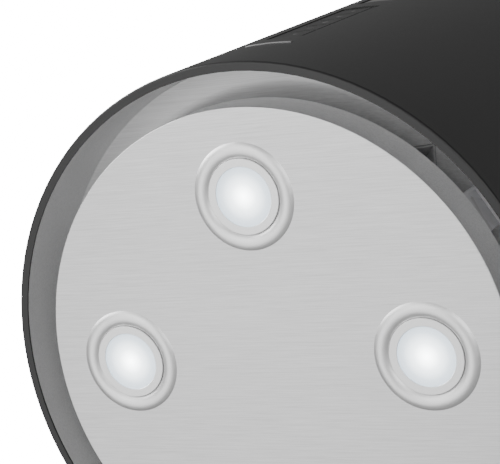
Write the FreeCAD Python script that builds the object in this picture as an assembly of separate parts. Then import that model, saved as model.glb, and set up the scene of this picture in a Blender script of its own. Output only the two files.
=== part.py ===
"""Island range hood: a round body hung from the ceiling on a telescopic frame.

Millimetres, +Z up, the front (control side) faces -Y. Every piece is drawn with the body's lower
rim at z = 0. The finished part hangs from the ceiling, so export() lowers each piece until the
ceiling plane is at z = 0, where the origin is the centre of the ceiling bolt circle.
"""
import FreeCAD, Part
import math
import os

V = FreeCAD.Vector
X, Y, Z = V(1, 0, 0), V(0, 1, 0), V(0, 0, 1)
QUARTER_TURNS = (0, 90, 180, 270)
CORNERS = (45, 135, 225, 315)

# ---- driving dimensions -------------------------------------------------------------------------
BODY_R = 190.0            # outside radius of the lower shell
SHELL_T = 1.2             # painted steel
SHELL_H = 600.0
LIP_W = 6.0               # black lip folded inwards at the rim
LIP_ROUND = 1.5
CEILING_Z = 900.0         # ceiling plane above the rim
SLIP = 0.3                # clearance between parts that are only pushed together
RUN = 0.05                # radial clearance of a pin that turns in its hole

# stainless suction ring inside the rim
RING_T = 0.8
RING_LEDGE_Z = 51.0
RING_CORNER = 1.2
LEDGE_W = 16.0            # flat part of the ledge, from the wall inwards
THROAT_BEND = 14.0        # soft bend from the ledge into the dish
DISH_SLOPE = 18.0         # degrees
DISH_INNER_R = 100.0

# hinged perimeter panel
PANEL_R = 162.0
PANEL_H = 28.0
PANEL_T = 1.0
PANEL_ROUND = 0.7
PANEL_FLANGE = 11.0
HINGE_X = 75.0
HINGE_Y = 128.0
HINGE_Z = 14.0
HINGE_PIN_R = 2.5
HINGE_PIN_L = 15.0
HINGE_ARM_T = 3.0
HINGE_EYE_R = 6.0
HINGE_EAR_R = 7.0
HINGE_EAR_T = 2.0
HINGE_SIDE_GAP = 2.5      # between the arm and each ear

# lamps
LAMP_COUNT = 4
LAMP_CIRCLE_R = 105.6
LAMP_RING_R = 34.6
LAMP_INSERT_R = 24.4
LAMP_LENS_R = 19.0
LAMP_HOLE_R = 29.0
LAMP_BODY_R = 27.5
LAMP_BODY_H = 20.0
LAMP_PROUD = 1.7

# oblong filter and the hopper above the dish; half widths along X and along Y
HOPPER_HALF = (110.0, 120.0)      # at the level of the ledge
HOPPER_TOP_HALF = (90.0, 106.0)
HOPPER_T = 1.0
FILTER_GAP = 1.2                  # between the filter and the hopper's top
FILTER_H = 9.0
FILTER_RAIL = 9.0         # width of the filter's frame section
DECK_Z = 80.0
DECK_T = 2.0
DECK_R = 178.0
DECK_REST = 8.0           # ledge of the deck over the filter's edge

# fan
FAN_Z = 200.0
FAN_HALF_W = 60.0         # half width of the scroll, along Y
SCROLL_T = 2.5
SCROLL_R_START = 84.0
SCROLL_R_END = 103.0
SCROLL_MOUTH_HALF = 78.0
SCROLL_TOP_Z = 316.0
INLET_R = 63.0
BLADES = 34
IMPELLER_R = 77.0
IMPELLER_ROOT_R = 61.0
IMPELLER_HALF_W = 44.0
BLADE_T = 1.2
SHAFT_R = 4.0
MOTOR_R = 43.0
MOTOR_Y0 = 12.0
MOTOR_Y1 = 66.0

# duct outlet
OUTLET_PLATE_T = 3.0
COLLAR_R = 74.5
COLLAR_T = 1.2
COLLAR_H = 50.0
FLAP_PIN_X = 4.0
FLAP_PIN_R = 1.5
FLAP_T = 1.0
FLAP_RAISE = 26.0         # flap pins above the outlet plate

# telescopic frame
RAIL_HALF = 112.0         # outside corner of the body's rails
RAIL_LEG = 24.0
RAIL_T = 2.0
RAIL_TOP_Z = 690.0
CEILING_RAIL_BOTTOM_Z = 560.0
HEIGHT_TRAVEL = 100.0
CEILING_PLATE_R = 183.0
CEILING_PLATE_T = 3.0
DUCT_OPENING_R = 86.0
CEILING_BOLT_R = 4.5
CEILING_BOLT_PCD = 280.0
BOLT_R = 2.5
ADJUST_BOLT_Z = 660.0
BRACE_GAP = 15.0          # above the raised bolts
BRACE_H = 20.0
CEILING_FLANGE_H = 26.0

# electronics: control box in front of the fan, lamp driver behind it, terminals at the ceiling
BOX_T = 2.0
CONTROL_HALF_W = 52.0
CONTROL_Y0, CONTROL_Y1 = -148.0, -112.0
CONTROL_BOX_Z0, CONTROL_BOX_Z1 = 236.0, 326.0
LID_RIM = 3.0             # how far and how thick the lid's rim stands in the box
HANGER_Z = 300.0
HANGER_T = 3.0
RELAYS = 4
RELAY_W = 16.0
RELAY_H = 14.4
RELAY_PITCH = 22.0
STANDOFF_R = 3.0
STANDOFF_H = 6.0
CABLE_R = 2.2
CABLE_LIFT = 12.0         # above the deck
CABLE_SIDE = 129.0        # from the middle, outside the rails
CABLE_BEND_R = 34.0
CABLE_RISE_X = 40.0
KEY_FEED_Z = 284.0
DRIVER_HALF_W = 45.0
DRIVER_Y0, DRIVER_Y1 = 112.0, 146.0
DRIVER_H = 24.0
TERMINAL_HALF_W = 38.0
TERMINAL_Y0, TERMINAL_Y1 = 110.0, 152.0
TERMINAL_H = 34.0
GLAND_Y = 131.0
GLAND_DROP = 18.0         # below the ceiling plate
GLAND_THREAD_R = 7.0
GLAND_NUT_R = 10.0
GLAND_NUT_L = 12.0
GLAND_BORE_R = 4.5
CABLE_ENTRY = (-62.0, 128.0)
CABLE_ENTRY_R = 10.0

# upper cover
COVER_GAP = 1.6           # between the cover and the inside of the shell
COVER_T = 1.0
COVER_BOTTOM_Z = 540.0
VENT_SLOTS = 13
VENT_SLOT_W = 3.0
VENT_SLOT_H = 44.0
VENT_PITCH = 4.6          # degrees
VENT_TOP_DROP = 34.0      # below the ceiling

# control niche and display niche in the front of the shell
NICHE_W = 29.6
NICHE_DEPTH = 1.1         # from the shell's outside to the fascia
CONTROL_Z0, CONTROL_Z1 = 90.0, 213.0
DISPLAY_Z0, DISPLAY_Z1 = 237.0, 297.0
NICHE_FLANGE = 4.0
NICHE_T = 0.8
KEY_COUNT = 5
KEY_W = 20.0
KEY_GAP = 2.0
KEY_T = 2.4
KEY_TRAVEL = 1.6
KEY_PROUD = 0.3
FASCIA_T = 2.0
BADGE_Z = 66.0
BADGE_W = 33.0
BADGE_H = 2.6
BADGE_T = 0.5

# what follows from them
COVER_R = BODY_R - SHELL_T - COVER_GAP
LIP_R = BODY_R - LIP_W
RING_BENT_R = LIP_R - RING_CORNER
BOARD_GAP = 4.0           # between the fascia's back and the switch board
BOARD_T = 1.6


# ---- shape helpers ------------------------------------------------------------------------------
def box(x0, x1, y0, y1, z0, z1):
    return Part.makeBox(x1 - x0, y1 - y0, z1 - z0, V(x0, y0, z0))


def cylinder(r, base, axis, length):
    return Part.makeCylinder(r, length, base, axis)


def tube(r_out, r_in, z0, z1):
    return cylinder(r_out, V(0, 0, z0), Z, z1 - z0).cut(cylinder(r_in, V(0, 0, z0), Z, z1 - z0))


def washer(r_out, r_in, base, axis, length):
    return cylinder(r_out, base, axis, length).cut(cylinder(r_in, base, axis, length))


def turned(shape, degrees, centre=V(0, 0, 0), axis=Z):
    copy = shape.copy()
    copy.rotate(centre, axis, degrees)
    return copy


def moved(shape, x=0.0, y=0.0, z=0.0):
    copy = shape.copy()
    copy.translate(V(x, y, z))
    return copy


def around(shape, angles=QUARTER_TURNS):
    return [turned(shape, a) for a in angles]


def revolved(edges):
    """A closed profile of edges in the XZ plane, spun about Z."""
    return Part.Face(Part.Wire(Part.__sortEdges__(edges))).revolve(V(0, 0, 0), Z, 360)


def line(p, q):
    return Part.LineSegment(p, q).toShape()


def polygon(points):
    return [line(points[i], points[(i + 1) % len(points)]) for i in range(len(points))]


def profile(*pairs):
    return [V(r, 0, z) for r, z in pairs]


def arc(centre_x, centre_z, r, a0, a1):
    """An arc in the XZ plane from angle a0 to a1, in degrees."""
    def at(a):
        return V(centre_x + r * math.cos(math.radians(a)), 0, centre_z + r * math.sin(math.radians(a)))
    return Part.Arc(at(a0), at((a0 + a1) / 2), at(a1)).toShape()


def ends(edge):
    return edge.valueAt(edge.FirstParameter), edge.valueAt(edge.LastParameter)


def joined(shapes):
    return shapes[0].multiFuse(shapes[1:]).removeSplitter()


def cut_all(shape, tools):
    return shape.cut(Part.makeCompound(tools)) if tools else shape


def pan_screw(r, length, base, axis):
    """A dome-headed screw: the head sits at base and the shank goes along axis."""
    head_r, head_h = 1.9 * r, 1.1 * r
    head = cylinder(head_r, base - axis * head_h, axis, head_h)
    head = head.makeFillet(0.6 * head_h, [e for e in head.Edges if is_circle_at(e, base - axis * head_h)])
    slot = Part.makeBox(0.5 * r, 2.4 * head_r, 0.45 * head_h, V(-0.25 * r, -1.2 * head_r, 0))
    slot.Placement = FreeCAD.Placement(base - axis * head_h, FreeCAD.Rotation(Z, axis)) * slot.Placement
    return head.cut(slot).fuse(cylinder(r, base, axis, length)).removeSplitter()


def is_circle_at(edge, point):
    return hasattr(edge.Curve, "Radius") and (edge.Curve.Center - point).Length < 1e-6


def cable(r, corners, bend_r):
    """A round cable along lines that meet at right angles, with every corner bent to bend_r."""
    edges, start = [], corners[0]
    for before, corner, after in zip(corners, corners[1:], corners[2:]):
        back, on = (before - corner).normalize(), (after - corner).normalize()
        leaves, arrives = corner + back * bend_r, corner + on * bend_r
        middle = corner + (back + on) * (bend_r * (1 - math.sqrt(0.5)))
        edges += [line(start, leaves), Part.Arc(leaves, middle, arrives).toShape()]
        start = arrives
    edges.append(line(start, corners[-1]))
    ring = Part.Wire(Part.makeCircle(r, corners[0], corners[1] - corners[0]))
    return Part.Wire(edges).makePipeShell([ring], True, True)


NODES = {}


def add(name, *solids):
    """Keeps one node: a solid, or a group of separate equal solids."""
    shape = solids[0] if len(solids) == 1 else Part.makeCompound(list(solids))
    if not shape.isValid() or not shape.Solids:
        raise ValueError(f"{name} is not a valid solid")
    NODES[name] = shape


def export():
    os.makedirs("parts", exist_ok=True)
    for name, shape in NODES.items():
        moved(shape, z=-CEILING_Z).exportStep(f"parts/{name}.step")
    print(f"{len(NODES)} nodes, {sum(len(s.Solids) for s in NODES.values())} solids")


# ---- lower shell and its niches -----------------------------------------------------------------
def niche_window(z0, z1):
    half = NICHE_W / 2
    return box(-half, half, -BODY_R - 1, -BODY_R + 20, z0, z1)


def niche_face_y():
    return -BODY_R + NICHE_DEPTH


def lower_shell():
    inner = BODY_R - SHELL_T
    bend = arc(BODY_R - LIP_ROUND, LIP_ROUND, LIP_ROUND, -90, 0)
    start, end = ends(bend)
    p = profile((BODY_R, SHELL_H), (inner, SHELL_H), (inner, SHELL_T), (LIP_R, SHELL_T), (LIP_R, 0))
    shell = revolved([bend, line(end, p[0]), line(p[0], p[1]), line(p[1], p[2]), line(p[2], p[3]),
                      line(p[3], p[4]), line(p[4], start)])
    add("lower_shell", cut_all(shell, [niche_window(CONTROL_Z0, CONTROL_Z1),
                                       niche_window(DISPLAY_Z0, DISPLAY_Z1)]))


def niche_tray(z0, z1):
    """A shallow tray behind a window: four walls, a floor opening for the fascia, and a flange."""
    half, inner_r = NICHE_W / 2, BODY_R - SHELL_T
    y_floor = niche_face_y() + FASCIA_T
    flange = NICHE_FLANGE
    block = box(-half - flange, half + flange, -inner_r - 1, y_floor + NICHE_T, z0 - flange, z1 + flange)
    block = block.common(cylinder(inner_r, V(0, 0, z0 - flange), Z, z1 - z0 + 2 * flange))
    hollow = box(-half - flange, half + flange, -inner_r + 1.5, y_floor, z0 - flange, z1 + flange)
    ears = hollow.cut(box(-half - NICHE_T, half + NICHE_T, -BODY_R, BODY_R, z0 - NICHE_T, z1 + NICHE_T))
    room = box(-half, half, -BODY_R, y_floor, z0, z1)
    opening = box(-half + 3, half - 3, -BODY_R, y_floor + 10, z0 + 3, z1 - 3)
    return block.cut(ears).cut(room).cut(opening)


def key_pitch():
    return (CONTROL_Z1 - CONTROL_Z0 - 8 + KEY_GAP) / KEY_COUNT


def key_box(i, grow=0.0, y0=None, y1=None):
    low = CONTROL_Z0 + 4 + i * key_pitch()
    high = low + key_pitch() - KEY_GAP
    half = KEY_W / 2 + grow
    return box(-half, half, y0, y1, low - grow, high + grow)


def switch_board_back():
    return niche_face_y() + FASCIA_T + BOARD_GAP + BOARD_T


def front_controls():
    add("niche_trays", niche_tray(CONTROL_Z0, CONTROL_Z1), niche_tray(DISPLAY_Z0, DISPLAY_Z1))
    face, half = niche_face_y(), NICHE_W / 2 - SLIP
    fascia = box(-half, half, face, face + FASCIA_T, CONTROL_Z0 + SLIP, CONTROL_Z1 - SLIP)
    holes = [key_box(i, SLIP, face - 1, face + FASCIA_T + 1) for i in range(KEY_COUNT)]
    add("control_fascia", cut_all(fascia, holes))
    glass = box(-half, half, face, face + FASCIA_T, DISPLAY_Z0 + SLIP, DISPLAY_Z1 - SLIP)
    add("display_window", glass)
    board_y = face + FASCIA_T + BOARD_GAP
    stop_y = board_y - 1.5 - KEY_TRAVEL - 0.2
    for i in range(KEY_COUNT):
        cap = key_box(i, 0.0, face - KEY_PROUD, face - KEY_PROUD + KEY_T)
        cap = cap.makeFillet(0.5, [e for e in cap.Edges if e.BoundBox.YMax < face - KEY_PROUD + 0.01])
        middle = cap.BoundBox.Center
        stem = cylinder(2.5, V(0, face - KEY_PROUD + KEY_T - 0.2, middle.z), Y,
                        stop_y - (face - KEY_PROUD + KEY_T - 0.2))
        add(f"key_{i + 1}", cap.fuse(stem).removeSplitter())
    board = box(-half + 1, half - 1, board_y, board_y + BOARD_T, CONTROL_Z0 + 1, DISPLAY_Z1 - 1)
    switches = [box(-3, 3, board_y - 1.5, board_y, z - 3, z + 3)
                for z in (NODES[f"key_{i + 1}"].BoundBox.Center.z for i in range(KEY_COUNT))]
    posts = [box(-half + 1, half - 1, face + FASCIA_T + NICHE_T, board_y, z, z + 3)
             for z in (CONTROL_Z1 + 1, DISPLAY_Z0 - 4)]
    add("switch_board", joined([board] + switches + posts))
    edge = BODY_R + BADGE_T
    bar = box(-BADGE_W / 2, BADGE_W / 2, -edge, -BODY_R + 3, BADGE_Z - BADGE_H / 2, BADGE_Z + BADGE_H / 2)
    add("blank_badge", bar.common(tube(edge, BODY_R, 0, SHELL_H)))


# ---- suction ring, hopper and deck --------------------------------------------------------------
def ring_edges(offset):
    """The ring's lower surface, and the same line moved out by offset, as edges from rim to dish."""
    wall = LIP_R + offset
    top = RING_LEDGE_Z + offset
    corner = RING_CORNER + offset
    knee_r = LIP_R - LEDGE_W
    bend = THROAT_BEND - offset
    edges = [arc(RING_BENT_R, RING_LEDGE_Z - RING_CORNER, corner, 0, 90)]
    edges.insert(0, line(V(wall, 0, SHELL_T), ends(edges[0])[0]))
    soft = arc(knee_r, RING_LEDGE_Z + THROAT_BEND, bend, -90, -90 - DISH_SLOPE)
    edges += [line(V(RING_BENT_R, 0, top), ends(soft)[0]), soft]
    foot = ends(soft)[1]
    rise = (foot.x - DISH_INNER_R) * math.tan(math.radians(DISH_SLOPE))
    edges.append(line(foot, V(DISH_INNER_R, 0, foot.z + rise)))
    return edges


def dish_region():
    """Everything under the dish's upper surface, from the ground up: what a piece above it clears."""
    outer = ring_edges(RING_T)
    start, end = ends(outer[0])[0], ends(outer[-1])[1]
    top, low, edge = V(0, 0, end.z), V(0, 0, 0), V(start.x, 0, 0)
    base = [line(end, top), line(top, low), line(low, edge), line(edge, start)]
    return revolved(outer + base)


def hopper_half(z, grow=0.0):
    """The hopper's outer half widths at a level, along X and along Y."""
    share = (z - RING_LEDGE_Z) / (DECK_Z - RING_LEDGE_Z)
    return [low + (top - low) * share + grow for low, top in zip(HOPPER_HALF, HOPPER_TOP_HALF)]


def filter_half():
    return [half - HOPPER_T - FILTER_GAP for half in HOPPER_TOP_HALF]


def pyramid(grow=0.0, z0=RING_LEDGE_Z - 10, z1=DECK_Z):
    """The hopper's outer faces, between two levels, moved out by grow."""
    def outline(z):
        hx, hy = hopper_half(z, grow)
        return Part.Wire(polygon([V(-hx, -hy, z), V(hx, -hy, z), V(hx, hy, z), V(-hx, hy, z)]))
    return Part.makeLoft([outline(z0), outline(z1)], True, True)


def suction_ring():
    lower, upper = ring_edges(0.0), ring_edges(RING_T)
    ring = revolved(lower + [line(ends(lower[-1])[1], ends(upper[-1])[1])] + upper
                    + [line(ends(upper[0])[0], ends(lower[0])[0])])
    ring = ring.cut(pyramid(SLIP))
    slots = [box(x - 4, x + 4, HINGE_Y - 9, HINGE_Y + 9, RING_LEDGE_Z, DECK_Z) for x in (-HINGE_X, HINGE_X)]
    add("suction_ring", cut_all(ring, slots))


def hopper():
    walls = pyramid().cut(pyramid(-HOPPER_T, RING_LEDGE_Z - 11, DECK_Z + 1))
    clear = dish_region()
    add("filter_hopper", walls.cut(clear).common(box(-200, 200, -200, 200, RING_LEDGE_Z, DECK_Z)))


def base_deck():
    plate = cylinder(DECK_R, V(0, 0, DECK_Z), Z, DECK_T)
    hx, hy = [half - DECK_REST for half in filter_half()]
    plate = plate.cut(box(-hx, hx, -hy, hy, DECK_Z - 1, DECK_Z + DECK_T + 1))
    rim = tube(DECK_R, DECK_R - DECK_T, DECK_Z, DECK_Z + 22)
    holes = around(cylinder(BOLT_R, V(DECK_R - 10, 0, DECK_Z + 12), X, 30), CORNERS)
    niche_room = box(-NICHE_W / 2 - 8, NICHE_W / 2 + 8, -BODY_R, -DECK_R + 12, DECK_Z + DECK_T, DECK_Z + 30)
    foot = box(DECK_R - 1, BODY_R, -15, 15, DECK_Z + 3, DECK_Z + 21)
    feet = [f.common(tube(BODY_R - SHELL_T, DECK_R - 1, DECK_Z, DECK_Z + 30))
            for f in around(foot, CORNERS)]
    add("base_deck", cut_all(joined([plate, rim] + feet), holes + [niche_room]))
    screw = pan_screw(BOLT_R, BODY_R - SHELL_T - DECK_R + DECK_T - 0.2,
                      V(DECK_R - DECK_T - 0.1, 0, DECK_Z + 12), X)
    add("shell_screws", *around(screw, CORNERS))
    post = cylinder(5.0, V(0, LIP_R - LEDGE_W + 8, RING_LEDGE_Z + RING_T), Z,
                    DECK_Z - RING_LEDGE_Z - RING_T)
    add("ring_posts", *around(post, (22.5, 112.5, 202.5, 292.5)))


# ---- perimeter panel ----------------------------------------------------------------------------
def lamp_places():
    step = 360.0 / LAMP_COUNT
    return [V(LAMP_CIRCLE_R * math.cos(math.radians(a)), LAMP_CIRCLE_R * math.sin(math.radians(a)), 0)
            for a in (step * i - 90 for i in range(LAMP_COUNT))]


def at_lamps(shape):
    return [moved(shape, p.x, p.y) for p in lamp_places()]


def panel():
    inner = PANEL_R - PANEL_T
    bend = arc(PANEL_R - PANEL_ROUND, PANEL_ROUND, PANEL_ROUND, -90, 0)
    start, end = ends(bend)
    p = profile((PANEL_R, PANEL_H), (inner - PANEL_FLANGE, PANEL_H),
                (inner - PANEL_FLANGE, PANEL_H - PANEL_T), (inner, PANEL_H - PANEL_T),
                (inner, PANEL_T), (0, PANEL_T), (0, 0))
    tray = revolved([bend, line(end, p[0])] + [line(p[i], p[i + 1]) for i in range(6)] + [line(p[6], start)])
    holes = at_lamps(cylinder(LAMP_HOLE_R, V(0, 0, -1), Z, PANEL_T + 2))
    notches = [box(x - 9, x + 9, HINGE_Y - 12, PANEL_R, 5, PANEL_H + 1) for x in (-HINGE_X, HINGE_X)]
    add("panel_tray", cut_all(tray, holes + notches))
    stiff = 14.0
    beam = box(-58, 58, -stiff / 2, stiff / 2, PANEL_T, PANEL_T + 1)
    web = box(-58, 58, -1, 1, PANEL_T + 1, PANEL_T + 12)
    add("panel_stiffener", joined([beam, web, turned(beam, 90), turned(web, 90)]))


def lamps():
    body_top = PANEL_T + LAMP_BODY_H
    ring_in = LAMP_INSERT_R + 0.4
    half_w = (LAMP_RING_R - ring_in) / 2
    rise = LAMP_PROUD
    r = (half_w ** 2 + rise ** 2) / (2 * rise)
    spread = math.degrees(math.asin(half_w / r))
    crown = arc((LAMP_RING_R + ring_in) / 2, r - rise, r, -90 + spread, -90 - spread)
    a, b = ends(crown)
    lip = V(ring_in, 0, PANEL_T)
    neck = [V(LAMP_HOLE_R - SLIP, 0, PANEL_T), V(LAMP_HOLE_R - SLIP, 0, 0)]
    ring = revolved([crown, line(b, lip), line(lip, neck[0]), line(neck[0], neck[1]), line(neck[1], a)])
    add("lamp_rings", *at_lamps(ring))
    insert_face = -0.9
    insert = tube(LAMP_INSERT_R, LAMP_LENS_R + 0.1, insert_face, PANEL_T)
    inner_edge = [e for e in insert.Edges if is_circle_at(e, V(0, 0, insert_face))]
    add("lamp_inserts", *at_lamps(insert.makeFillet(0.35, inner_edge)))
    add("lamp_lenses", *at_lamps(cylinder(LAMP_LENS_R, V(0, 0, insert_face + 0.7), Z, 2.0)))
    can = cylinder(LAMP_BODY_R, V(0, 0, PANEL_T + 1), Z, LAMP_BODY_H - 1)
    collar = cylinder(LAMP_HOLE_R - 1, V(0, 0, PANEL_T), Z, 1.2)
    recess = cylinder(LAMP_LENS_R + 0.1, V(0, 0, PANEL_T - 1), Z, 1.8)
    fins = [box(-LAMP_BODY_R, LAMP_BODY_R, y - 1.0, y + 1.0, PANEL_T + 7, body_top + 1)
            for y in range(-24, 25, 6)]
    add("lamp_bodies", *at_lamps(cut_all(can.fuse(collar).removeSplitter(), fins + [recess])))
    spring = box(LAMP_BODY_R, LAMP_BODY_R + 9, -3, 3, PANEL_T, PANEL_T + 0.8)
    riser = box(LAMP_BODY_R, LAMP_BODY_R + 0.8, -3, 3, PANEL_T, PANEL_T + 6)
    clip = spring.fuse(riser).cut(cylinder(LAMP_HOLE_R - 1, V(0, 0, 0), Z, PANEL_T + 1.2)).removeSplitter()
    clips = [turned(clip, a) for a in (45, 135, 225, 315)]
    add("lamp_springs", *[moved(c, p.x, p.y) for p in lamp_places() for c in clips])


def hinge_arm(x):
    """An arm that hangs from the deck and ends in an eye round the pin."""
    half = HINGE_ARM_T / 2
    arm = box(x - half, x + half, HINGE_Y - HINGE_EYE_R, HINGE_Y + HINGE_EYE_R, HINGE_Z, DECK_Z)
    eye = cylinder(HINGE_EYE_R, V(x - half, HINGE_Y, HINGE_Z), X, HINGE_ARM_T)
    foot = box(x - half, x + 14, HINGE_Y - HINGE_EYE_R, HINGE_Y + HINGE_EYE_R, DECK_Z - 2, DECK_Z)
    hole = cylinder(HINGE_PIN_R + RUN, V(x - HINGE_PIN_L, HINGE_Y, HINGE_Z), X, 2 * HINGE_PIN_L)
    return joined([arm, eye, foot]).cut(hole)


def hinge_ear_pair(x):
    """Two ears on one foot, one each side of the arm."""
    near = HINGE_ARM_T / 2 + HINGE_SIDE_GAP
    pieces = [box(x - near - HINGE_EAR_T, x + near + HINGE_EAR_T, HINGE_Y - HINGE_EAR_R,
                  HINGE_Y + HINGE_EAR_R, PANEL_T, PANEL_T + 1.5)]
    for low in (x - near - HINGE_EAR_T, x + near):
        pieces.append(box(low, low + HINGE_EAR_T, HINGE_Y - HINGE_EAR_R, HINGE_Y + HINGE_EAR_R,
                          PANEL_T, HINGE_Z))
        pieces.append(cylinder(HINGE_EAR_R, V(low, HINGE_Y, HINGE_Z), X, HINGE_EAR_T))
    bore = cylinder(HINGE_PIN_R, V(x - HINGE_PIN_L, HINGE_Y, HINGE_Z), X, 2 * HINGE_PIN_L)
    return joined(pieces).cut(bore)


def panel_hinge():
    places = (-HINGE_X, HINGE_X)
    add("hinge_arms", *[hinge_arm(x) for x in places])
    add("hinge_ears", *[hinge_ear_pair(x) for x in places])
    add("hinge_pins", *[cylinder(HINGE_PIN_R, V(x - HINGE_PIN_L / 2, HINGE_Y, HINGE_Z), X, HINGE_PIN_L)
                        for x in places])


def panel_catches():
    """A magnet catch under the dish at each front side, and its steel strike on the panel's flange."""
    mid_r = PANEL_R - PANEL_T - PANEL_FLANGE / 2
    low = PANEL_H + 1.6
    body = box(mid_r - 5.5, mid_r + 4.5, -14, 14, low, DECK_Z)
    body = body.cut(box(mid_r + 1.5, mid_r + 20, -12, 14, low + 5, DECK_Z - 1))
    under = ring_edges(0.0)
    start, end = ends(under[0])[0], ends(under[-1])[1]
    inner_top, outer_top = V(DISH_INNER_R, 0, DECK_Z + 10), V(start.x, 0, DECK_Z + 10)
    roof = [line(end, inner_top), line(inner_top, outer_top), line(outer_top, start)]
    body = body.cut(revolved(under + roof))
    body = body.fuse(cylinder(4.0, V(mid_r - 0.5, 0, low - 1), Z, 1)).removeSplitter()
    strike = box(mid_r - 5, mid_r + 4, -12, 12, PANEL_H, PANEL_H + 0.5)
    angles = (-30, -150)
    add("catch_bodies", *around(body, angles))
    add("catch_strikes", *around(strike, angles))


# ---- grease filter ------------------------------------------------------------------------------
def grease_filter():
    top = DECK_Z - SLIP
    low = top - FILTER_H
    hx, hy = filter_half()

    def slab(inset, z0, z1):
        return box(-hx + inset, hx - inset, -hy + inset, hy - inset, z0, z1)
    groove = FILTER_RAIL - 5
    frame = slab(0, low, top).cut(slab(FILTER_RAIL, low - 1, top + 1))
    frame = frame.cut(slab(groove, low + 1.5, top - 1.5))
    add("filter_frame", frame.makeFillet(0.6, [e for e in frame.Edges if outer_edge(e, hx, hy, low)]))
    add("filter_mesh", slab(groove, low + 2, top - 2))
    edge = -hy + FILTER_RAIL
    pull = box(-22, 22, edge - 5, edge + 4, low - 1, low)
    loop = box(-20, 20, edge + 2, edge + 4, low - 13, low - 1)
    loop = loop.cut(box(-15, 15, -hy, hy, low - 10, low - 2))
    add("filter_pull", joined([pull, loop]))
    spring = box(hx, hx + FILTER_GAP - 0.1, -14, 14, low + 1, top - 1)
    add("filter_clips", *around(spring, (0, 180)))


def outer_edge(edge, half_x, half_y, z):
    b = edge.BoundBox
    at_x = min(abs(b.XMin), abs(b.XMax)) > half_x - 0.01
    at_y = min(abs(b.YMin), abs(b.YMax)) > half_y - 0.01
    return b.ZMax < z + 0.01 and (at_x or at_y)


# ---- fan ----------------------------------------------------------------------------------------
def scroll_outline(inset, y):
    """The scroll's outline at a depth y: a spiral that opens into a wide mouth at the top."""
    turn0, turn1 = 130.0, 360.0
    points = []
    for i in range(9):
        share = i / 8.0
        a = math.radians(turn0 + share * (turn1 - turn0))
        r = SCROLL_R_START + share * (SCROLL_R_END - SCROLL_R_START) - inset
        points.append(V(r * math.cos(a), y, FAN_Z + r * math.sin(a)))
    curve = Part.BSplineCurve()
    curve.interpolate(points)
    mouth = SCROLL_MOUTH_HALF - inset
    right, left = V(mouth, y, SCROLL_TOP_Z), V(-mouth, y, SCROLL_TOP_Z)
    return Part.Wire([curve.toShape(), line(points[-1], right), line(right, left), line(left, points[0])])


def scroll_half(sign):
    """One half of the fan casing; sign is -1 at the front and +1 at the back."""
    outer = Part.Face(scroll_outline(0.0, 0.0)).extrude(V(0, sign * FAN_HALF_W, 0))
    hollow = Part.Face(scroll_outline(SCROLL_T, 0.0)).extrude(V(0, sign * (FAN_HALF_W - SCROLL_T), 0))
    mouth = SCROLL_MOUTH_HALF - SCROLL_T
    open_top = box(-mouth, mouth, min(0, sign * (FAN_HALF_W - SCROLL_T)),
                   max(0, sign * (FAN_HALF_W - SCROLL_T)), SCROLL_TOP_Z - SCROLL_T - 1, SCROLL_TOP_Z + 1)
    centre = V(0, 0, FAN_Z)
    inlet = cylinder(INLET_R, centre, Y * sign, FAN_HALF_W + 1)
    lip = washer(INLET_R + 4, INLET_R, centre + Y * sign * (FAN_HALF_W - SCROLL_T), Y * sign, SCROLL_T + 5)
    return joined([outer.cut(hollow).cut(open_top).cut(inlet), lip])


def blade():
    """One forward-curved blade: a thin arc between the root and the tip, along Y."""
    mid = (IMPELLER_ROOT_R + IMPELLER_R) / 2 - 1
    depth = IMPELLER_R - IMPELLER_ROOT_R - 2

    def arc_at(offset):
        return Part.Arc(V(mid - depth / 2, 0, offset), V(mid, 0, offset - 3.0),
                        V(mid + depth / 2, 0, offset + 1.0)).toShape()
    first, second = arc_at(0.0), arc_at(BLADE_T)
    a, b = ends(first)
    c, d = ends(second)
    face = Part.Face(Part.Wire([first, line(b, d), second, line(c, a)]))
    return moved(face.extrude(V(0, 2 * IMPELLER_HALF_W - 2, 0)), y=-IMPELLER_HALF_W + 1)


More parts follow.
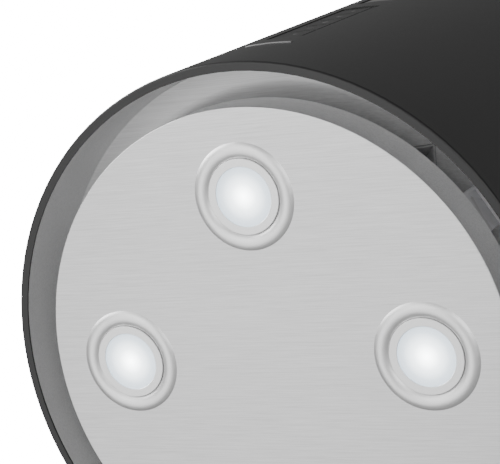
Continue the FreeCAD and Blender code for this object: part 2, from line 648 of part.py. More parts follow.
def fan():
    add("scroll_front", scroll_half(-1))
    add("scroll_back", scroll_half(1))
    centre = V(0, 0, FAN_Z)
    one = blade()
    blades = [moved(turned(one, i * 360.0 / BLADES, axis=Y), z=FAN_Z) for i in range(BLADES)]
    rims = [washer(IMPELLER_R, IMPELLER_ROOT_R - 1, centre + Y * y, Y, 2.0)
            for y in (-IMPELLER_HALF_W, IMPELLER_HALF_W - 2)]
    disc = washer(IMPELLER_R, SHAFT_R, centre - Y * 2, Y, 2.5)
    boss = washer(12.0, SHAFT_R, centre - Y * 14, Y, 22.0)
    add("impeller_hub", joined([disc, boss]))
    cage = joined(rims + blades)
    add("impeller", cage.cut(NODES["impeller_hub"]))
    shaft = cylinder(SHAFT_R, centre - Y * 18, Y, MOTOR_Y1 + 12 + 18)
    nut = cylinder(7.0, centre - Y * 19.5, Y, 5.5)
    add("motor_shaft", shaft.fuse(nut).removeSplitter())
    can = cylinder(MOTOR_R, centre + Y * MOTOR_Y0, Y, MOTOR_Y1 - MOTOR_Y0)
    can = can.makeFillet(4.0, [e for e in can.Edges if hasattr(e.Curve, "Radius")])
    slots = [turned(box(-3, 3, MOTOR_Y0 - 1, MOTOR_Y0 + 6, 20, 34), 45 * i, axis=Y) for i in range(8)]
    slots = [moved(s, z=FAN_Z) for s in slots]
    bore = cylinder(SHAFT_R + RUN, centre, Y, 2 * MOTOR_Y1)
    add("motor_body", cut_all(can, slots + [bore]))
    hoop = washer(MOTOR_R + 3, MOTOR_R, centre + Y * (FAN_HALF_W - 7), Y, 6)
    arm = box(MOTOR_R + 2, INLET_R + 10, FAN_HALF_W + 5, FAN_HALF_W + 8, -7, 7)
    arm = arm.fuse(box(MOTOR_R + 1, MOTOR_R + 4, FAN_HALF_W - 4, FAN_HALF_W + 8, -7, 7))
    arms = [moved(turned(arm, 60 + 120 * i, axis=Y), z=FAN_Z) for i in range(3)]
    bracket = joined([hoop] + arms).cut(cylinder(MOTOR_R, centre, Y, 2 * MOTOR_Y1))
    add("motor_bracket", bracket)
    legs = [box(sx * 58 - 8, sx * 58 + 8, sy * 46 - 8, sy * 46 + 8, DECK_Z + DECK_T, FAN_Z - 40)
            for sx in (-1, 1) for sy in (-1, 1)]
    body = Part.Face(scroll_outline(0.0, -FAN_HALF_W - 1)).extrude(V(0, 2 * FAN_HALF_W + 2, 0))
    add("fan_feet", *[leg.cut(body) for leg in legs_on_deck(legs)])


def legs_on_deck(legs):
    """Feet that reach past the deck's opening stand on cross straps."""
    reach = filter_half()[0] + 4
    strap = [box(-reach, reach, sy * 46 - 8, sy * 46 + 8,
                 DECK_Z + DECK_T, DECK_Z + DECK_T + 3) for sy in (-1, 1)]
    return [joined([legs[0], legs[2], strap[0]]), joined([legs[1], legs[3], strap[1]])]


def control_box():
    half, room_half = CONTROL_HALF_W, CONTROL_HALF_W - BOX_T
    low, high = CONTROL_BOX_Z0 + BOX_T, CONTROL_BOX_Z1 - BOX_T
    case = box(-half, half, CONTROL_Y0, CONTROL_Y1, CONTROL_BOX_Z0, CONTROL_BOX_Z1)
    room = box(-room_half, room_half, CONTROL_Y0 + BOX_T, CONTROL_Y1 + 1, low, high)
    add("control_box", case.cut(room))
    seat = room_half - SLIP
    rim = box(-seat, seat, CONTROL_Y1 - LID_RIM, CONTROL_Y1, low + SLIP, high - SLIP)
    rim = rim.cut(box(-seat + LID_RIM, seat - LID_RIM, CONTROL_Y1 - LID_RIM - 1, CONTROL_Y1 + 1,
                      low + LID_RIM, high - LID_RIM))
    back = CONTROL_Y1 + BOX_T
    lid = box(-half, half, CONTROL_Y1, back, CONTROL_BOX_Z0, CONTROL_BOX_Z1)
    strap = box(-half, half, back, back + HANGER_T, HANGER_Z, HANGER_Z + 10)
    hangers = [box(x - 4, x + 4, back, -FAN_HALF_W, HANGER_Z, HANGER_Z + HANGER_T)
               for x in (-half + 4, half - 4)]
    add("control_box_lid", joined([lid, rim, strap] + hangers))


def power_board():
    """The board stands on four posts, with a row of relays along its foot."""
    half = CONTROL_HALF_W - 3 * BOX_T
    foot_y = CONTROL_Y0 + BOX_T
    board_y = foot_y + STANDOFF_H
    low, high = CONTROL_BOX_Z0 + 4 * BOX_T, CONTROL_BOX_Z1 - 4 * BOX_T
    board = box(-half, half, board_y, board_y + BOARD_T, low, high)
    top = board_y + BOARD_T
    first = -half + 6
    relays = [box(first + RELAY_PITCH * i, first + RELAY_PITCH * i + RELAY_W, top, top + RELAY_H,
                  low + 6, low + 6 + RELAY_W) for i in range(RELAYS)]
    posts = [cylinder(STANDOFF_R, V(x, foot_y, z), Y, STANDOFF_H)
             for x in (-half + 4, half - 4) for z in (low + 4, high - 4)]
    add("power_board", joined([board] + relays + posts))


def wiring():
    """The lamp feed runs round the deck from the driver and climbs to the control box."""
    lay = DECK_Z + DECK_T + CABLE_LIFT
    side = CABLE_SIDE
    corners = [V(DRIVER_HALF_W, side, lay), V(side, side, lay), V(side, -side, lay),
               V(CABLE_RISE_X, -side, lay), V(CABLE_RISE_X, -side, CONTROL_BOX_Z0)]
    lamp_feed = cable(CABLE_R, corners, CABLE_BEND_R)
    start = switch_board_back()
    key_feed = cylinder(CABLE_R, V(0, start, KEY_FEED_Z), Y, CONTROL_Y0 - start)
    add("wiring_loom", lamp_feed, key_feed)


def lamp_driver():
    low, top = DECK_Z + DECK_T, DECK_Z + DECK_T + DRIVER_H
    case = box(-DRIVER_HALF_W, DRIVER_HALF_W, DRIVER_Y0, DRIVER_Y1, low, top)
    add("led_driver", case.makeFillet(2.5, [e for e in case.Edges if e.BoundBox.ZMin > low]))


# ---- duct outlet and its flaps ------------------------------------------------------------------
def outlet():
    z0 = SCROLL_TOP_Z
    z1 = z0 + OUTLET_PLATE_T
    inner = COLLAR_R - COLLAR_T
    plate = box(-SCROLL_MOUTH_HALF - 6, SCROLL_MOUTH_HALF + 6, -80, 80, z0, z1)
    add("outlet_plate", plate.cut(cylinder(inner, V(0, 0, z0 - 1), Z, 10)))
    collar = tube(COLLAR_R, inner, z1, z1 + COLLAR_H)
    pin_z = z1 + FLAP_RAISE
    stop = tube(inner, inner - 2.5, pin_z - 4.2, pin_z - 2.2)
    stop = stop.cut(box(-2 * FLAP_PIN_X, 2 * FLAP_PIN_X, -COLLAR_R, COLLAR_R, z1, pin_z + 10))
    bores = [cylinder(FLAP_PIN_R + RUN, V(x, -COLLAR_R + 0.3, pin_z), Y, 2 * (COLLAR_R - 0.3))
             for x in (-FLAP_PIN_X, FLAP_PIN_X)]
    add("outlet_collar", cut_all(collar.fuse(stop).removeSplitter(), bores))
    for name, sign in (("left", -1), ("right", 1)):
        leaf = cylinder(inner - 0.8, V(0, 0, pin_z - 2.1), Z, FLAP_T)
        side = (FLAP_PIN_X, 200) if sign > 0 else (-200, -FLAP_PIN_X)
        leaf = leaf.common(box(side[0], side[1], -200, 200, z1, pin_z + 5))
        reach = inner - 6
        knuckle = cylinder(FLAP_PIN_R + 1.2, V(sign * FLAP_PIN_X, -reach, pin_z), Y, 2 * reach)
        pin_half = inner + COLLAR_T - 0.5
        pin = cylinder(FLAP_PIN_R, V(sign * FLAP_PIN_X, -pin_half, pin_z), Y, 2 * pin_half)
        ribs = [box(min(sign * 8, sign * 58), max(sign * 8, sign * 58), y - 0.5, y + 0.5,
                    pin_z - 1.2, pin_z + 1.0) for y in (-30, 0, 30)]
        add(f"flap_{name}", joined([leaf, knuckle, pin] + ribs))


# ---- telescopic frame, ceiling plate and upper cover --------------------------------------------
def angle_rail(corner, leg, z0, z1):
    """An L section standing at a corner of the frame, its legs along the frame's sides."""
    outer = box(corner - leg, corner, corner - RAIL_T, corner, z0, z1)
    return outer.fuse(box(corner - RAIL_T, corner, corner - leg, corner, z0, z1)).removeSplitter()


def frame_and_ceiling():
    bolt_x = RAIL_HALF - RAIL_LEG + 8
    rail = angle_rail(RAIL_HALF, RAIL_LEG, DECK_Z + DECK_T, RAIL_TOP_Z)
    hole = cylinder(BOLT_R, V(bolt_x, RAIL_HALF - 10, ADJUST_BOLT_Z), Y, 20)
    add("frame_rails", *around(rail.cut(hole)))
    inside = RAIL_HALF - RAIL_T - SLIP
    top = CEILING_Z - CEILING_PLATE_T
    inner_rail = angle_rail(inside, RAIL_LEG - RAIL_T - 2, CEILING_RAIL_BOTTOM_Z, top)
    slot_w = BOLT_R + SLIP
    slot = box(bolt_x - slot_w, bolt_x + slot_w, inside - 5, inside + 1,
               ADJUST_BOLT_Z - 10, ADJUST_BOLT_Z + HEIGHT_TRAVEL + 10)
    add("ceiling_rails", *around(inner_rail.cut(slot)))
    grip = RAIL_T + SLIP + RAIL_T
    bolt = pan_screw(BOLT_R, grip + 7, V(bolt_x, RAIL_HALF, ADJUST_BOLT_Z), Y * -1)
    nut = washer(4.5, BOLT_R, V(bolt_x, inside - RAIL_T - 4.3, ADJUST_BOLT_Z), Y, 4)
    add("adjust_bolts", *around(bolt.fuse(nut).removeSplitter()))
    brace_in, brace_out = inside - RAIL_T - 3, inside - RAIL_T
    low = ADJUST_BOLT_Z + HEIGHT_TRAVEL + BRACE_GAP
    brace = box(-brace_out, brace_out, -brace_out, brace_out, low, low + BRACE_H)
    brace = brace.cut(box(-brace_in, brace_in, -brace_in, brace_in, low - 1, low + BRACE_H + 1))
    add("ceiling_brace", brace)
    plate = tube(CEILING_PLATE_R, DUCT_OPENING_R, top, CEILING_Z)
    flange = tube(CEILING_PLATE_R, CEILING_PLATE_R - 2, top - CEILING_FLANGE_H, top)
    holes = around(cylinder(CEILING_BOLT_R, V(CEILING_BOLT_PCD / 2, 0, top - 5), Z, 20))
    holes.append(cylinder(CABLE_ENTRY_R, V(*CABLE_ENTRY, top - 5), Z, 20))
    notch = box(CEILING_PLATE_R - 10, CEILING_PLATE_R + 5, -3.2, 3.2, top - 60, top - 8)
    add("ceiling_plate", cut_all(plate.fuse(flange).removeSplitter(),
                                 holes + around(notch, (30, 150, 270))))


def terminal_box():
    top = CEILING_Z - CEILING_PLATE_T
    low = top - TERMINAL_H
    half, wall_y0, wall_y1 = TERMINAL_HALF_W, TERMINAL_Y0 + BOX_T, TERMINAL_Y1 - BOX_T
    gland_z = top - GLAND_DROP
    case = box(-half, half, TERMINAL_Y0, TERMINAL_Y1, low, top)
    room = box(-half + BOX_T, half - BOX_T, wall_y0, wall_y1, low - 1, top - BOX_T)
    entry = cylinder(GLAND_THREAD_R, V(half - 8, GLAND_Y, gland_z), X, 20)
    add("terminal_box", cut_all(case, [room, entry]))
    add("terminal_box_lid", box(-half, half, TERMINAL_Y0, TERMINAL_Y1, low - BOX_T, low))
    block = box(-24, 24, GLAND_Y - 7, GLAND_Y + 7, top - GLAND_DROP - 2, top - BOX_T)
    holes = [cylinder(CABLE_R, V(-18 + 12 * i, TERMINAL_Y0, top - 12), Y, 50) for i in range(4)]
    add("terminal_block", cut_all(block, holes))
    nut = cylinder(GLAND_NUT_R, V(half, GLAND_Y, gland_z), X, GLAND_NUT_L)
    thread = cylinder(GLAND_THREAD_R, V(half - 4, GLAND_Y, gland_z), X, 6)
    bore = cylinder(GLAND_BORE_R, V(half - 8, GLAND_Y, gland_z), X, 30)
    add("cable_gland", nut.fuse(thread).cut(bore).removeSplitter())


def upper_cover():
    inner = COVER_R - COVER_T
    top = CEILING_Z - 0.5
    sheet = tube(COVER_R, inner, COVER_BOTTOM_Z, top)
    slot = box(inner - 4, COVER_R + 4, -VENT_SLOT_W / 2, VENT_SLOT_W / 2,
               top - VENT_TOP_DROP - VENT_SLOT_H, top - VENT_TOP_DROP)
    ends_round = [cylinder(VENT_SLOT_W / 2, V(inner - 4, 0, z), X, 20)
                  for z in (top - VENT_TOP_DROP - VENT_SLOT_H, top - VENT_TOP_DROP)]
    slot = joined([slot] + ends_round)
    middle = (VENT_SLOTS - 1) / 2.0
    slots = [turned(slot, side + (i - middle) * VENT_PITCH)
             for side in (0, 180) for i in range(VENT_SLOTS)]
    screw_z = top - 14.5
    holes = around(cylinder(BOLT_R, V(inner - 5, 0, screw_z), X, 20), (30, 150, 270))
    add("upper_cover", cut_all(sheet, slots + holes))
    screw = pan_screw(BOLT_R, 8.0, V(COVER_R, 0, screw_z), X * -1)
    add("cover_screws", *around(screw, (30, 150, 270)))


def main():
    lower_shell()
    front_controls()
    suction_ring()
    hopper()
    base_deck()
    panel()
    lamps()
    panel_hinge()
    panel_catches()
    grease_filter()
    fan()
    control_box()
    power_board()
    wiring()
    lamp_driver()
    outlet()
    frame_and_ceiling()
    terminal_box()
    upper_cover()
    export()


main()
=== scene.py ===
"""Round island range hood, hung from the ceiling and seen from below.

Metres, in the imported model's frame: z = 0 is the ceiling, the hood's rim is at RIM_Z, and the
control side faces -Y.
"""
import math

import bpy
from mathutils import Matrix, Vector


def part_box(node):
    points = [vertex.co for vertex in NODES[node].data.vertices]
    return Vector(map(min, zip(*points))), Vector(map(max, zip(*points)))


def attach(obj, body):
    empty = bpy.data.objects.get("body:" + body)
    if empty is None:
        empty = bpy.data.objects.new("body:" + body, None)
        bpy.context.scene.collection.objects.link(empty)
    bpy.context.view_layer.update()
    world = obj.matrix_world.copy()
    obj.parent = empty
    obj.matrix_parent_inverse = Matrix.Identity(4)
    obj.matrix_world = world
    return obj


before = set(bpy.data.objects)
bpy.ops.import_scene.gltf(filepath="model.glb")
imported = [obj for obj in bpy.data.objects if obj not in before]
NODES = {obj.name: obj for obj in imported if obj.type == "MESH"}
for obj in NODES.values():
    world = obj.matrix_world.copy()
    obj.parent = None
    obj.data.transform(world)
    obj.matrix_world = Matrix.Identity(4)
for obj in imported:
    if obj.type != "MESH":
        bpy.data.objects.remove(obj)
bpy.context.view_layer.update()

MM = 0.001
RIM_Z = -0.900
FLOOR_Z = RIM_Z - 1.65

# camera
CAMERA_AT = Vector((0.5443, -0.3182, RIM_Z - 0.9555))
CAMERA_AIM = Vector((0.0, -0.083, RIM_Z))
CAMERA_UP = Vector((0.048, -0.963, 0.265))
CAMERA_LENS = 130.6

# light
SKY_GLOW = 0.26
BACKDROP_GLOW = 18.0
FLOOR_HALF = 12.0
FLOOR_GREY = 0.82
LIGHTS = (
    # name, place from the rim's middle, height of the aim point, size, watts
    ("key_from_left", (-1.9, -1.3, -0.3), 0.0, 1.4, 48.0),
    ("edge_from_behind", (-2.0, 1.0, 1.2), 0.3, 1.2, 20.0),
    ("fill_from_viewer", (0.75, -0.45, -1.1), 0.0, 0.7, 5.0),
    ("softbox_left", (-0.75, 0.33, -1.3), 0.0, 1.2, 5.6),
    ("softbox_under", (-0.55, -0.60, -1.40), 0.0, 0.9, 4.5),
)

# how the grain of brushed and rolled metal is drawn out: long along X
STRAIGHT_GRAIN = (0.022, 1.0, 1.0)
EVEN_GRAIN = (1.0, 1.0, 1.0)

# height of each finish's surface relief
PEEL_RELIEF = 0.06 * MM
STREAK_RELIEF = 0.05 * MM
SPECK_RELIEF = 0.08 * MM
SCRATCH_RELIEF = 0.02 * MM
MOULD_RELIEF = 0.05 * MM
FROST_RELIEF = 0.05 * MM
TRACK_RELIEF = 0.05 * MM

# lamps on the panel
LAMP_CIRCLE = 105.6 * MM
LENS_R = 19.0 * MM
LENS_POWER = 10.0

# expanded metal on the underside of the grease filter
WEAVE_HALF_X = 78.6 * MM
WEAVE_Z = RIM_Z + 72.2 * MM
WEAVE_ROWS = 47
WEAVE_POINTS = 50
WEAVE_PITCH = 4.0 * MM
STRAND_R = 0.42 * MM

# marks on the keys
MARK_R = 2.6 * MM
MARK_LINE = 0.7 * MM
MARK_T = 0.06 * MM


# ---- shader and geometry trees as plain expressions ---------------------------------------------
class Field:
    """A socket of a node tree. Arithmetic on fields adds Math nodes to their tree."""

    def __init__(self, tree, socket):
        self.tree = tree
        self.socket = socket

    def math(self, operation, *values):
        return self.tree.node(self.tree.math_kind, {"operation": operation}, *values)

    def __add__(self, other):
        return self.math("ADD", self, other)

    def __sub__(self, other):
        return self.math("SUBTRACT", self, other)

    def __rsub__(self, other):
        return self.math("SUBTRACT", other, self)

    def __mul__(self, other):
        return self.math("MULTIPLY", self, other)

    def __truediv__(self, other):
        return self.math("DIVIDE", self, other)

    def __pow__(self, other):
        return self.math("POWER", self, other)

    def __abs__(self):
        return self.math("ABSOLUTE", self)

    __radd__ = __add__
    __rmul__ = __mul__


class Tree:
    """A node tree whose nodes come from one method."""

    math_kind = "ShaderNodeMath"

    def __init__(self, nodes):
        self.nodes = nodes

    def node(self, kind, settings, *values, out=0, **named):
        made = self.nodes.nodes.new(kind)
        for name, value in settings.items():
            if name == "stops":
                self.set_stops(made.color_ramp, value)
            else:
                setattr(made, name, value)
        for place, value in enumerate(values):
            self.plug(made.inputs[place], value)
        for label, value in named.items():
            self.plug(made.inputs[label.replace("_", " ")], value)
        return Field(self, made.outputs[out]) if out is not None else None

    def plug(self, socket, value):
        if isinstance(value, Field):
            self.nodes.links.new(value.socket, socket)
        elif value is not None:
            socket.default_value = value

    @staticmethod
    def set_stops(ramp, stops):
        while len(ramp.elements) < len(stops):
            ramp.elements.new(1.0)
        for element, (place, grey) in zip(ramp.elements, stops):
            element.position = place
            element.color = (grey, grey, grey, 1.0)


class Finish(Tree):
    """A material: its constants are set on the shader, and what varies is plugged in."""

    def __init__(self, name, **constants):
        self.material = bpy.data.materials.new(name)
        self.material.use_nodes = True
        super().__init__(self.material.node_tree)
        self.shader = self.nodes.nodes["Principled BSDF"]
        for key, value in constants.items():
            self.shader.inputs[key.replace("_", " ")].default_value = value

    def feed(self, socket, value):
        self.plug(self.shader.inputs[socket], value)

    def place(self):
        return self.node("ShaderNodeTexCoord", {}, out="Object")

    def axes(self):
        split = self.node("ShaderNodeSeparateXYZ", {}, self.place()).socket.node
        return [Field(self, s) for s in split.outputs]

    def grain(self, scale, stretch=(1.0, 1.0, 1.0), detail=2.0, roughness=0.5):
        """Noise from 0 to 1, drawn out along the axes where stretch is small."""
        spot = self.node("ShaderNodeMapping", {}, self.place(), Scale=stretch)
        return self.node("ShaderNodeTexNoise", {}, Vector=spot, Scale=scale, Detail=detail,
                         Roughness=roughness)

    def cells(self, scale):
        return self.node("ShaderNodeTexVoronoi", {}, Vector=self.place(), Scale=scale, out="Color")

    def between(self, value, low, high):
        """value from 0 to 1 becomes low to high."""
        return value * (high - low) + low

    def blend(self, factor, first, second):
        mix = self.node("ShaderNodeMix", {"data_type": "RGBA"}, factor).socket.node
        ends = [s for s in mix.inputs if s.type == "RGBA"]
        self.plug(ends[0], first)
        self.plug(ends[1], second)
        return Field(self, [s for s in mix.outputs if s.type == "RGBA"][0])

    def emboss(self, height, depth, strength=1.0):
        self.feed("Normal", self.node("ShaderNodeBump", {}, Strength=strength, Distance=depth,
                                      Height=height))

    def coat_nodes(self, *names):
        for name in names:
            for slot in NODES[name].material_slots:
                slot.material = self.material


def grey(level, blue=0.0):
    return (level, level, level + blue, 1.0)


# ---- finishes -----------------------------------------------------------------------------------
def satin_black():
    """Powder coat: near-black, with fine orange peel and a trace of dust."""
    coat = Finish("satin_black_coat", IOR=1.5)
    peel = coat.grain(900.0, detail=3.0)
    cloud = coat.grain(6.0, detail=4.0)
    coat.feed("Base Color", coat.blend(cloud, grey(0.010), grey(0.015)))
    coat.feed("Roughness", coat.between(peel * 0.6 + cloud * 0.4, 0.34, 0.44))
    coat.emboss(peel, PEEL_RELIEF, 0.35)
    return coat


def brushed(name, stretch, level=0.62, rough=(0.24, 0.42), metallic=1.0, depth=0.22):
    """Stainless steel with a straight grain. depth is how far streaks lighten and darken it."""
    steel = Finish(name, Metallic=metallic)
    fine = steel.grain(1700.0, stretch, detail=2.0, roughness=0.6)
    broad = steel.grain(700.0, stretch, detail=2.0)
    cloud = steel.grain(5.0, detail=2.0)
    streak = fine * 0.65 + broad * 0.35
    tone = (streak * 0.85 + cloud * 0.15 - 0.5) * 1.5 + 0.5
    steel.feed("Base Color", steel.blend(tone, grey(level - depth), grey(level + depth, 0.005)))
    steel.feed("Roughness", steel.between(tone, *rough))
    steel.emboss(streak, STREAK_RELIEF, 0.5)
    return steel


def zinc_sheet():
    sheet = Finish("zinc_sheet", Metallic=1.0)
    spangle = sheet.cells(70.0)
    speck = sheet.grain(300.0, detail=3.0)
    flake = sheet.node("ShaderNodeSeparateColor", {}, spangle)
    sheet.feed("Base Color", sheet.blend(flake, grey(0.42), grey(0.60, 0.02)))
    sheet.feed("Roughness", sheet.between(flake * 0.7 + speck * 0.3, 0.32, 0.55))
    sheet.emboss(speck, SPECK_RELIEF, 0.3)
    return sheet


def polished(name, level, rough):
    """Plated metal with faint handling haze."""
    metal = Finish(name, Metallic=1.0)
    haze = metal.grain(40.0, detail=5.0)
    scratch = metal.grain(1500.0, (1.0, 0.08, 0.5), detail=2.0)
    metal.feed("Base Color", metal.blend(haze, grey(level - 0.04), grey(level + 0.03)))
    metal.feed("Roughness", metal.between(haze * 0.5 + scratch * 0.5, rough - 0.05, rough + 0.07))
    metal.emboss(scratch, SCRATCH_RELIEF, 0.25)
    return metal


def moulded(name, level, rough, tint=(1.0, 1.0, 1.0), peel_scale=700.0):
    plastic = Finish(name, IOR=1.48)
    peel = plastic.grain(peel_scale, detail=3.0)
    cloud = plastic.grain(9.0, detail=3.0)
    low = tuple(level * 0.85 * t for t in tint) + (1.0,)
    high = tuple(level * 1.12 * t for t in tint) + (1.0,)
    plastic.feed("Base Color", plastic.blend(cloud, low, high))
    plastic.feed("Roughness", plastic.between(peel * 0.5 + cloud * 0.5, rough - 0.06, rough + 0.08))
    plastic.emboss(peel, MOULD_RELIEF, 0.3)
    return plastic


def lamp_distance(finish):
    """Distance in metres from the axis of the nearest of the four lamps."""
    x, y, _ = finish.axes()
    side = (abs(x) - LAMP_CIRCLE) ** 2.0 + y ** 2.0
    front = x ** 2.0 + (abs(y) - LAMP_CIRCLE) ** 2.0
    nearest = side.math("MINIMUM", side, front)
    return nearest ** 0.5


def lit_lens():
    """A frosted diffuser, hottest over its light source."""
    lens = Finish("lit_lens", Roughness=0.35)
    share = lamp_distance(lens) / LENS_R
    fade = [(0.0, 1.0), (0.45, 0.30), (0.8, 0.06), (1.0, 0.01)]
    hot = lens.node("ShaderNodeValToRGB", {"stops": fade}, share)
    frost = lens.grain(1400.0, detail=2.0)
    lens.feed("Base Color", grey(0.85))
    glow = hot * 0.94 + frost * 0.06
    rim_blue, hot_white = (0.040, 0.064, 0.088, 1.0), (0.96, 1.0, 1.0, 1.0)
    lens.feed("Emission Color", lens.blend(glow, rim_blue, hot_white))
    lens.feed("Emission Strength", LENS_POWER)
    lens.emboss(frost, FROST_RELIEF, 0.2)
    return lens


def circuit_board():
    board = Finish("circuit_board", Roughness=0.4)
    tracks = board.cells(420.0)
    level = board.node("ShaderNodeSeparateColor", {}, tracks)
    mask = board.node("ShaderNodeValToRGB", {"stops": [(0.55, 0.0), (0.6, 1.0)]}, level)
    board.feed("Base Color", board.blend(mask, (0.01, 0.11, 0.045, 1.0), (0.03, 0.20, 0.08, 1.0)))
    board.feed("Roughness", board.between(level, 0.3, 0.5))
    board.emboss(mask, TRACK_RELIEF, 0.3)
    return board


def dress_frame():
    satin_black().coat_nodes("lower_shell", "upper_cover", "niche_trays")
    brushed("brushed_panel", STRAIGHT_GRAIN, 0.66).coat_nodes("panel_tray")
    # painted light: the suction ring and hopper steel is lighter (0.84) and less metallic than the
    # panel's steel, standing in for bounce light inside the throat
    brushed("brushed_ring", STRAIGHT_GRAIN, 0.84, (0.40, 0.55), metallic=0.4,
            depth=0.20).coat_nodes("suction_ring", "filter_hopper")
    zinc_sheet().coat_nodes(
        "base_deck", "ceiling_plate", "ceiling_brace", "ceiling_rails", "frame_rails",
        "outlet_plate", "outlet_collar", "fan_feet", "control_box", "control_box_lid",
        "terminal_box", "terminal_box_lid", "panel_stiffener", "hinge_arms", "hinge_ears",
        "ring_posts", "motor_bracket", "catch_bodies", "catch_strikes")
    polished("bright_steel", 0.66, 0.22).coat_nodes(
        "hinge_pins", "motor_shaft", "lamp_springs", "filter_clips")
    polished("blackened_screws", 0.06, 0.35).coat_nodes(
        "cover_screws", "shell_screws", "adjust_bolts")
    polished("satin_chrome", 0.96, 0.42).coat_nodes("lamp_rings", "lamp_inserts")
    lit_lens().coat_nodes("lamp_lenses")
    brushed("cast_heat_sink", EVEN_GRAIN, 0.5, (0.45, 0.6)).coat_nodes("lamp_bodies")
    moulded("strip_black", 0.016, 0.42).coat_nodes(
        "control_fascia", "key_1", "key_2", "key_3", "key_4", "key_5")
    polished("badge_silver", 0.40, 0.35).coat_nodes("blank_badge")
    moulded("dark_glass", 0.015, 0.10, peel_scale=60.0).coat_nodes("display_window")
    brushed("rolled_alloy", STRAIGHT_GRAIN, 0.66, (0.3, 0.45)).coat_nodes(
        "filter_frame", "filter_mesh", "filter_pull")
    moulded("fan_plastic", 0.10, 0.5).coat_nodes(
        "scroll_front", "scroll_back", "impeller", "impeller_hub", "flap_left", "flap_right")
    moulded("motor_grey", 0.22, 0.42).coat_nodes("motor_body")
    circuit_board().coat_nodes("switch_board", "power_board")
    moulded("white_plastic", 0.75, 0.4, (1.0, 0.99, 0.95)).coat_nodes("led_driver", "terminal_block")
    moulded("dark_plastic", 0.05, 0.45).coat_nodes("cable_gland", "wiring_loom")


# ---- pieces grown by geometry nodes -------------------------------------------------------------
class Grower(Tree):
    """A geometry tree with named inputs, run once on an empty mesh to give a plain one."""

    def __init__(self, name, inputs):
        super().__init__(bpy.data.node_groups.new(name, "GeometryNodeTree"))
        sockets = self.nodes.interface
        sockets.new_socket("Geometry", in_out="INPUT", socket_type="NodeSocketGeometry")
        sockets.new_socket("Geometry", in_out="OUTPUT", socket_type="NodeSocketGeometry")
        self.settings = {}
        for label, value in inputs.items():
            kind = "NodeSocketInt" if isinstance(value, int) else "NodeSocketFloat"
            socket = sockets.new_socket(label, in_out="INPUT", socket_type=kind)
            self.settings[socket.identifier] = value
        given = self.nodes.nodes.new("NodeGroupInput")
        self.given = {s.name: Field(self, s) for s in given.outputs if s.name}

    def vector(self, x=0.0, y=0.0, z=0.0):
        return self.node("ShaderNodeCombineXYZ", {}, x, y, z)

    def odd(self):
        """1 at every second point and 0 at the others."""
        return self.node("GeometryNodeInputIndex", {}).math(
            "MODULO", self.node("GeometryNodeInputIndex", {}), 2.0)

    def grow(self, name, geometry, finish):
        plain = self.node("GeometryNodeRealizeInstances", {}, geometry)
        dressed = self.node("GeometryNodeSetMaterial", {}, plain, Material=finish.material)
        self.node("NodeGroupOutput", {}, dressed, out=None)
        seed = bpy.data.objects.new(name + "_seed", bpy.data.meshes.new(name + "_seed"))
        bpy.context.scene.collection.objects.link(seed)
        modifier = seed.modifiers.new("grow", "NODES")
        modifier.node_group = self.nodes
        for identifier, value in self.settings.items():
            modifier[identifier] = value
        view = bpy.context.evaluated_depsgraph_get()
        mesh = bpy.data.meshes.new_from_object(seed.evaluated_get(view))
        bpy.data.objects.remove(seed)
        piece = bpy.data.objects.new(name, mesh)
        bpy.context.scene.collection.objects.link(piece)
        return piece


def filter_weave():
    """Zig-zag strands side by side, every second one turned over, so that they meet in diamonds."""
    tree = Grower("filter_weave", {
        "Half width": WEAVE_HALF_X, "Points": WEAVE_POINTS, "Rows": WEAVE_ROWS,
        "Pitch": WEAVE_PITCH, "Strand radius": STRAND_R})
    half, pitch = tree.given["Half width"], tree.given["Pitch"]
    rows = tree.given["Rows"]
    straight = tree.node("GeometryNodeCurvePrimitiveLine", {}, Start=tree.vector(half * -1.0),
                         End=tree.vector(half))
    stepped = tree.node("GeometryNodeResampleCurve", {}, straight, Count=tree.given["Points"])
    sideways = (tree.odd() - 0.5) * pitch
    bent = tree.node("GeometryNodeSetPosition", {}, stepped, Offset=tree.vector(y=sideways))
    section = tree.node("GeometryNodeCurvePrimitiveCircle", {}, Resolution=6,
                        Radius=tree.given["Strand radius"])
    strand = tree.node("GeometryNodeCurveToMesh", {}, bent, section, Fill_Caps=True)
    first = (rows - 1.0) * pitch * -0.5
    places = tree.node("GeometryNodeMeshLine", {}, Count=rows,
                       Start_Location=tree.vector(y=first, z=WEAVE_Z), Offset=tree.vector(y=pitch))
    turn = tree.node("FunctionNodeEulerToRotation", {}, tree.vector(x=tree.odd() * math.pi))
    woven = tree.node("GeometryNodeInstanceOnPoints", {}, places, Instance=strand, Rotation=turn)
    weave = tree.grow("filter_weave", woven, polished("weave_alloy", 0.72, 0.38))
    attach(weave, "grease_filter")


# ---- marks on the keys --------------------------------------------------------------------------
def slab_of(outline, middle):
    """A thin plate facing -Y: a closed outline of (across, up) points round a middle."""
    count = len(outline)
    front = [middle + Vector((across, -MARK_T, up)) for across, up in outline]
    back = [middle + Vector((across, MARK_T, up)) for across, up in outline]
    faces = [tuple(range(count)), tuple(reversed(range(count, 2 * count)))]
    faces += [((i + 1) % count, i, i + count, (i + 1) % count + count) for i in range(count)]
    return front + back, faces


def bar(half_across, half_up, turn=0.0):
    corners = [(-half_across, -half_up), (half_across, -half_up), (half_across, half_up),
               (-half_across, half_up)]
    c, s = math.cos(turn), math.sin(turn)
    return [(c * a - s * u, s * a + c * u) for a, u in corners]


def disc(radius, sides=28):
    return [(radius * math.cos(2 * math.pi * i / sides), radius * math.sin(2 * math.pi * i / sides))
            for i in range(sides)]


def crossed(half_long, half_wide):
    """A plus sign as one outline."""
    a, b = half_long, half_wide
    return [(-b, -a), (b, -a), (b, -b), (a, -b), (a, b), (b, b), (b, a), (-b, a), (-b, b), (-a, b),
            (-a, -b), (-b, -b)]


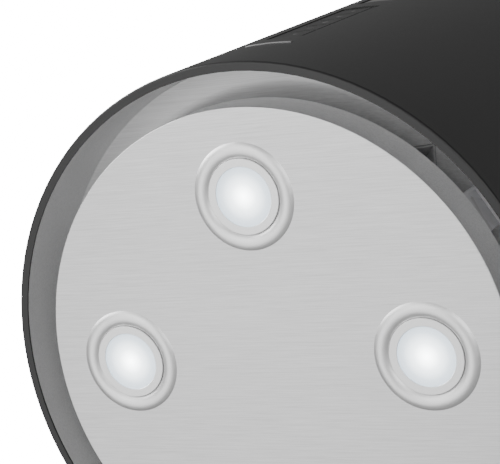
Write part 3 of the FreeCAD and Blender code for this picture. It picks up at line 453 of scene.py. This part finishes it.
def key_marks():
    """From the lowest key up: a dot, a minus, a diamond, a plus and a dot."""
    ink = moulded("key_mark", 0.18, 0.5)
    half_line = MARK_LINE / 2
    dot = disc(MARK_R * 0.55)
    diamond = bar(MARK_R * 0.7, MARK_R * 0.7, math.pi / 4)
    signs = [dot, bar(MARK_R, half_line), diamond, crossed(MARK_R, half_line), dot]
    for number, sign in enumerate(signs, 1):
        low, high = (Vector(p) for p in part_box(f"key_{number}"))
        middle = Vector(((low.x + high.x) / 2, low.y, (low.z + high.z) / 2))
        verts, faces = slab_of(sign, middle)
        mesh = bpy.data.meshes.new(f"mark_{number}")
        mesh.from_pydata(verts, [], faces)
        mesh.materials.append(ink.material)
        piece = bpy.data.objects.new(f"mark_{number}", mesh)
        bpy.context.scene.collection.objects.link(piece)
        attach(piece, f"key_{number}")


# ---- studio -------------------------------------------------------------------------------------
def add_camera():
    data = bpy.data.cameras.new("camera")
    data.lens = CAMERA_LENS
    camera = bpy.data.objects.new("camera", data)
    bpy.context.scene.collection.objects.link(camera)
    back = (CAMERA_AT - CAMERA_AIM).normalized()
    right = CAMERA_UP.cross(back).normalized()
    up = back.cross(right)
    turn = Matrix((right, up, back)).transposed()
    camera.matrix_world = Matrix.Translation(CAMERA_AT) @ turn.to_4x4()
    bpy.context.scene.camera = camera


def add_light(name, at, aim, size, energy):
    data = bpy.data.lights.new(name, "AREA")
    data.size = size
    data.energy = energy
    light = bpy.data.objects.new(name, data)
    bpy.context.scene.collection.objects.link(light)
    turn = (at - aim).to_track_quat("Z", "Y").to_matrix()
    light.matrix_world = Matrix.Translation(at) @ turn.to_4x4()


def add_studio():
    mesh = bpy.data.meshes.new("floor")
    corners = [(x * FLOOR_HALF, y * FLOOR_HALF, FLOOR_Z) for x, y in ((-1, -1), (1, -1), (1, 1), (-1, 1))]
    mesh.from_pydata(corners, [], [(0, 1, 2, 3)])
    floor = bpy.data.objects.new("floor", mesh)
    bpy.context.scene.collection.objects.link(floor)
    pale = Finish("pale_floor", Roughness=0.8)
    pale.feed("Base Color", grey(FLOOR_GREY))
    floor.data.materials.append(pale.material)
    world = bpy.data.worlds.new("studio")
    world.use_nodes = True
    studio = Tree(world.node_tree)
    seen = studio.node("ShaderNodeLightPath", {}, out="Is Camera Ray")
    sky = world.node_tree.nodes["Background"]
    sky.inputs["Color"].default_value = grey(1.0)
    studio.plug(sky.inputs["Strength"], seen * (BACKDROP_GLOW - SKY_GLOW) + SKY_GLOW)
    bpy.context.scene.world = world
    rim = Vector((0.0, 0.0, RIM_Z))
    for name, place, aim_height, size, watts in LIGHTS:
        add_light(name, rim + Vector(place), rim + Vector((0.0, 0.0, aim_height)), size, watts)


add_camera()
dress_frame()
filter_weave()
key_marks()
add_studio()
